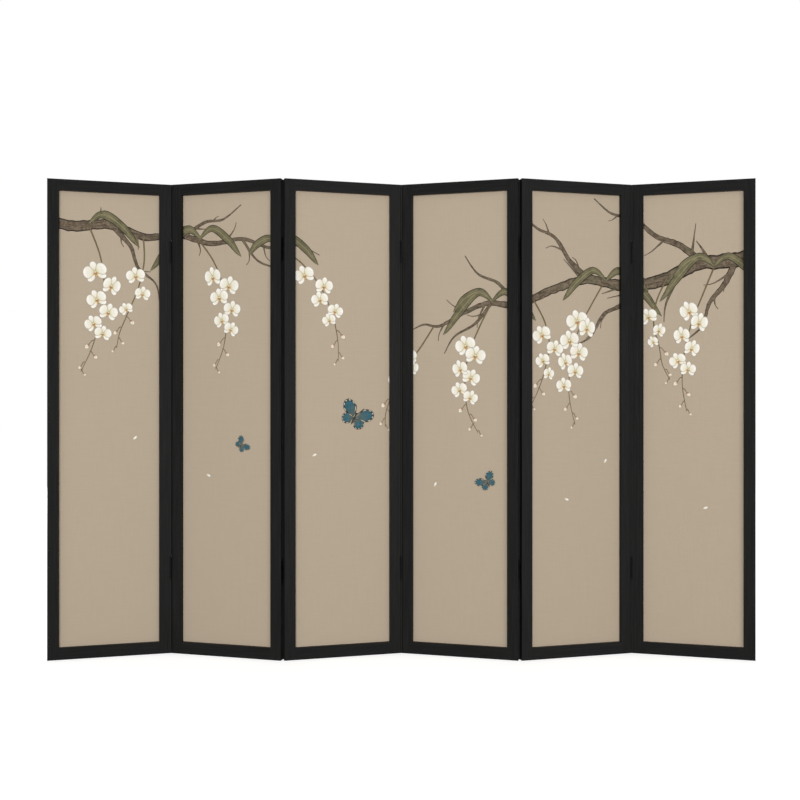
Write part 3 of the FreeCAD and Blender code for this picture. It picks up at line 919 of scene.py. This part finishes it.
def spurs_of(line):
    """Short crooked twigs along one limb, and the knots that they grow from."""
    made, walked, side = [], SPUR_SPACING * 0.6, 1
    for (x0, z0, _), (x1, z1, width) in zip(line, line[1:]):
        walked += math.dist((x0, z0), (x1, z1))
        if walked < SPUR_SPACING or width < THINNEST_BEARER:
            continue
        walked = spur_hand.uniform(-0.5, 0.3) * SPUR_SPACING
        side = -side
        way = math.atan2(z1 - z0, x1 - x0) + side * spur_hand.uniform(0.5, 1.1)
        crook = way + spur_hand.uniform(-0.7, 0.7)
        reach = spur_hand.uniform(0.7, 1.9) * (15 + width)
        foot = 2.8 + 0.13 * width
        elbow = (x1 + reach * math.cos(way), z1 + reach * math.sin(way))
        beyond = 0.6 * reach
        tip = (elbow[0] + beyond * math.cos(crook), elbow[1] + beyond * math.sin(crook))
        made.append(through([(x1, z1, foot * 1.8), (*elbow, foot * 0.8), (*tip, SPUR_TIP)], 4))
    return made


spurs = [spur for line in limb_lines for spur in spurs_of(line)]
painted.append(brush("spurs", spurs, bark_paint, press=0.012, layer=0.02))
print(len(spurs), "spurs")

# %% [markdown]
# A spray hangs from its limb on a thin stem. Blossoms open first near the limb, turn a little
# this way and that, and get smaller, down to the buds at the tip. They stand by turns on the
# left and the right of the stem, each on a short stalk.

# %% Sprays of orchids
STEM_WIDTHS = (6, 5.2, 4.4, 3.6, 2.8, 2.2)
BARE_STEM = 0.3
BLOSSOM_ASIDE, BUD_ASIDE = 27, 14
DWINDLE = 0.28
FIRST_BUD, BUD_DWINDLE = 1.15, 0.5
BUD_TURN = 2.4
BUDS = 4
stems = []


def spray(points, blossoms, largest):
    """One hanging spray: its stem, blossoms, buds and the short stalks between."""
    line = through([(x, z, width) for (x, z), width in zip(points, STEM_WIDTHS)], 10)
    stems.append(line)
    count = blossoms + BUDS
    for k in range(count):
        share = BARE_STEM + (1 - BARE_STEM) * k / (count - 1)
        foot_x, foot_z, _ = line[round(share * (len(line) - 1))]
        side = 1 if k % 2 else -1
        if k < blossoms:
            size = largest * (1 - DWINDLE * k / max(1, blossoms - 1))
            x, z = foot_x + side * BLOSSOM_ASIDE * size, foot_z - hand.uniform(4, 14)
            turn = side * hand.uniform(0.1, 0.45)
            stamp(orchid, x, z, size, turn, hand.choice((1.0, 0.95, 0.78)), level=k % 3)
        else:
            size = FIRST_BUD - BUD_DWINDLE * (k - blossoms) / (BUDS - 1)
            x, z = foot_x + side * BUD_ASIDE * size, foot_z - 6
            stamp(bud, x, z, size, side * BUD_TURN)
        bend = ((foot_x + x) / 2, foot_z + 5, 2.6)
        stems.append(through([(foot_x, foot_z + 9, 3), bend, (x, z, 2)], 4))


SPRAYS = [
    ([(2560, 1470), (2520, 1370), (2478, 1260), (2452, 1140), (2446, 1030), (2462, 930)], 6, 1.02),
    ([(2150, 1420), (2098, 1335), (2042, 1230), (2012, 1110), (2006, 990), (2030, 880)], 7, 1.08),
    ([(1860, 1350), (1905, 1270), (1925, 1180), (1905, 1080), (1880, 1010), (1850, 950)], 4, 0.9),
    ([(1700, 1335), (1652, 1240), (1612, 1135), (1600, 1030), (1612, 930), (1650, 850)], 6, 1.0),
    ([(1480, 1256), (1430, 1180), (1372, 1100), (1330, 1010), (1300, 930), (1296, 870)], 4, 0.85),
    ([(2390, 1440), (2350, 1350), (2340, 1260), (2360, 1180), (2372, 1110), (2400, 1050)], 3, 0.82),
    ([(150, 1630), (190, 1520), (205, 1400), (190, 1280), (160, 1170), (120, 1080)], 6, 1.05),
    ([(560, 1585), (622, 1500), (662, 1400), (676, 1290), (664, 1180), (630, 1090)], 6, 1.0),
    ([(350, 1590), (352, 1500), (330, 1400), (290, 1300), (262, 1230), (250, 1170)], 3, 0.85),
    ([(880, 1545), (968, 1490), (1040, 1405), (1088, 1300), (1110, 1200), (1112, 1120)], 5, 0.92),
]
for points, blossoms, largest in SPRAYS:
    spray(points, blossoms, largest)
print(len(SPRAYS), "sprays with", sum(blossoms for _, blossoms, _ in SPRAYS), "blossoms")

# %% [markdown]
# Strap leaves stand in a tuft where a spray leaves its limb. Each rises a little, is widest past
# its middle, and hangs over at the tip, the later ones lower than the first. Each row of the
# shape says how far out, how high, how much it hangs and how wide. All leaves are one piece of
# brushwork, and so are the stems, which lie over them.

# %% Strap leaves, and the stems
LEAF_SHAPE = ((0, 0, 0, 9), (0.3, 0.3, 0.2, 27), (0.68, 0.3, 0.8, 30), (0.9, 0.12, 1, 17), (1, 0, 1, 2))
FIRST_DROOP, MORE_DROOP = 0.25, 0.2
leaves = []


def tuft(x, z, lengths):
    """Strap leaves that fan out from one place. A length below zero bends to the left."""
    for k, length in enumerate(lengths):
        droop = FIRST_DROOP + MORE_DROOP * k
        leaves.append(through([
            (x + length * out, z + abs(length) * (rise - droop * hang), width)
            for out, rise, hang, width in LEAF_SHAPE], 7))


TUFTS = [
    (2562, 1480, (-150, 170, -200)), (2160, 1430, (160, -180, 210)), (1705, 1345, (-150, 165, -190)),
    (150, 1640, (140, 185)), (565, 1592, (-150, 170, -190)), (885, 1550, (-120, 150))]
for x, z, lengths in TUFTS:
    tuft(x, z, lengths)
painted.append(brush("leaves", leaves, leaf_paint, press=0.005, layer=0.28))
painted.append(brush("stems", stems, stem_paint, press=0.02, layer=0.42))
print(len(leaves), "leaves and", len(stems), "stems and stalks")

# %% [markdown]
# Three butterflies fly below the sprays, each smaller than the one before and turned its own
# way, with two feelers that end in knobs. A few loose petals fall on the empty cloth.

# %% Butterflies and fallen petals
BUTTERFLIES = ((1175, 905, 1.0, 0.5), (1686, 660, 0.62, -0.6), (735, 800, 0.5, 0.9))
FALLEN_PETALS = (
    (310, 820, 0.8), (590, 690, 2.0), (1010, 760, 1.1), (1480, 640, 0.4), (1985, 600, 1.9),
    (2150, 730, 0.6), (2520, 560, 1.2))


def feelers(x, z, size, turn):
    """A butterfly's two feelers, from its head out to their knobs."""
    made = []
    for side in (-1, 1):
        bend, knob = turn + side * 0.32, turn + side * 0.34
        made.append(through([
            (x + size * (14 * math.sin(turn) + side * 3), z + size * 14 * math.cos(turn), 2.6 * size),
            (x + size * 46 * math.sin(bend), z + size * 46 * math.cos(bend), 2.0 * size),
            (x + size * 50 * math.sin(knob), z + size * 50 * math.cos(knob), 4.0 * size)], 4))
    return made


for x, z, size, turn in BUTTERFLIES:
    stamp(butterfly, x, z, size, turn, level=1)
    painted.append(brush("feelers", feelers(x, z, size, turn), body_paint, press=0.05, layer=0.8))
for x, z, turn in FALLEN_PETALS:
    stamp(loose_petal, x, z, 1.0, turn)
for master in MASTERS:
    bpy.data.objects.remove(master)
print(len(painted), "painted marks")

# %% [markdown]
# Now the marks are joined and cut. Each panel gets its own copy of the picture, which is cut
# along its opening with bisect and laid on the eased cloth. Bisect could fill the cuts too, but
# it gets muddled where marks overlap, so each cut mark is closed by itself with fill_holes.

# %% Cut the picture and lay it on the cloths
PAINT_MARGIN = 0.2 * MM
CUTS = (
    ((-OPENING_HALF + PAINT_MARGIN, 0, 0), (-1, 0, 0)),
    ((OPENING_HALF - PAINT_MARGIN, 0, 0), (1, 0, 0)),
    ((0, 0, OPENING_BOTTOM + PAINT_MARGIN), (0, 0, -1)),
    ((0, 0, OPENING_TOP - PAINT_MARGIN), (0, 0, 1)))
picture = only(*painted)
bpy.ops.object.join()
picture.name = "picture"
paintings = {}
for n in PANELS:
    piece = picture.copy()
    piece.data = picture.data.copy()
    bpy.context.scene.collection.objects.link(piece)
    piece.name = piece.data.name = f"panel_{n}_painting"
    to_opening = -(n - 1) * PICTURE_PITCH - PANEL_WIDTH / 2
    piece.data.transform(Matrix.Translation((to_opening, 0, 0)))
    only(piece)
    bpy.ops.object.mode_set(mode="EDIT")
    for spot, way in CUTS:
        bpy.ops.mesh.select_all(action="SELECT")
        bpy.ops.mesh.bisect(plane_co=spot, plane_no=way, clear_outer=True)
    bpy.ops.mesh.select_all(action="SELECT")
    bpy.ops.mesh.fill_holes(sides=0)
    bpy.ops.object.mode_set(mode="OBJECT")
    settle(piece, n, CLOTH_FRONT)
    paintings[n] = piece
    print(piece.name, len(piece.data.polygons), "faces")
bpy.data.objects.remove(picture)

# %% [markdown]
# The floor is white to the camera, and keeps the soft shadow under the screen. To the screen it is
# only grey, because a pale floor throws up light that the cloth's foot, in the shade, doesn't get.

# %% Floor
FLOOR_SIZE = 60
FLOOR_GREY, FLOOR_PALE = (0.4, 0.4, 0.4, 1), (0.8, 0.8, 0.8, 1)
FLOOR_GLOW = 0.6
WHITE = (1, 1, 1, 1)


def seen_directly(tree):
    """1 for what is seen straight, in gloss or through glass, and 0 for what lights the screen."""
    seen = add(tree, "LightPath").outputs
    direct = calc(tree, "MAXIMUM", seen["Is Camera Ray"], seen["Is Glossy Ray"])
    return calc(tree, "MAXIMUM", direct, seen["Is Transmission Ray"])


bpy.ops.mesh.primitive_plane_add(size=FLOOR_SIZE, location=(0, 0, 0))
floor = bpy.context.object
floor.name = "floor"
pale_floor, tree, shader = finish_of("pale floor", 0.9, Specular_IOR_Level=0.0, Emission_Color=WHITE)
direct = seen_directly(tree)
feed(tree, blend(tree, direct, FLOOR_GREY, FLOOR_PALE), shader["Base Color"])
feed(tree, calc(tree, "MULTIPLY", direct, FLOOR_GLOW), shader["Emission Strength"])
floor.data.materials.append(pale_floor)
print("the floor is", FLOOR_SIZE, "m across")

# %% [markdown]
# The light is a plain pale surround and broad soft lamps: one in front, a little to the left, one
# from the right, whose gloss makes the panels that face it a little brighter, and one behind.

# %% Surround and lamps
SURROUND_LIGHT = 0.5
LAMP_AIM = Vector((0, 0, 0.9))
LAMPS = (
    ("front lamp", (-0.6, -8, 1.4), 3.2, 380.0, False),
    ("side lamp", (3.8, -7.4, 1.3), 3.6, 135.0, True),
    ("back lamp", (-2.0, 8, 2.0), 3.2, 350.0, False))
world = bpy.data.worlds.new("pale surround")
bpy.context.scene.world = world
world.use_nodes = True
tree = world.node_tree
level = calc(tree, "MULTIPLY_ADD", seen_directly(tree), 1.0 - SURROUND_LIGHT, SURROUND_LIGHT)
tree.nodes["Background"].inputs["Color"].default_value = WHITE
feed(tree, level, tree.nodes["Background"].inputs["Strength"])


def soft_lamp(name, place, size, watts, mirrored):
    """A broad square lamp that points at the middle of the screen, and may show in its gloss."""
    bpy.ops.object.light_add(type="AREA", location=place)
    lamp = bpy.context.object
    lamp.name = name
    lamp.rotation_euler = (LAMP_AIM - lamp.location).to_track_quat("-Z", "Y").to_euler()
    lamp.data.shape, lamp.data.size, lamp.data.energy = "SQUARE", size, watts
    lamp.visible_glossy = mirrored
    lamp.visible_camera = False


for lamp in LAMPS:
    soft_lamp(*lamp)
print("lamps:", [name for name, *_ in LAMPS])

# %% [markdown]
# Each new cloth stands for the imported flat one, which stays in the model for collision. The cloth
# and its painting ride on their panel.

# %% Hand over
for n in PANELS:
    sheet, painting = sheets[n], paintings[n]
    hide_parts(f"panel_{n}_cloth")
    for piece in (sheet, painting):
        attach(piece, f"panel_{n}")
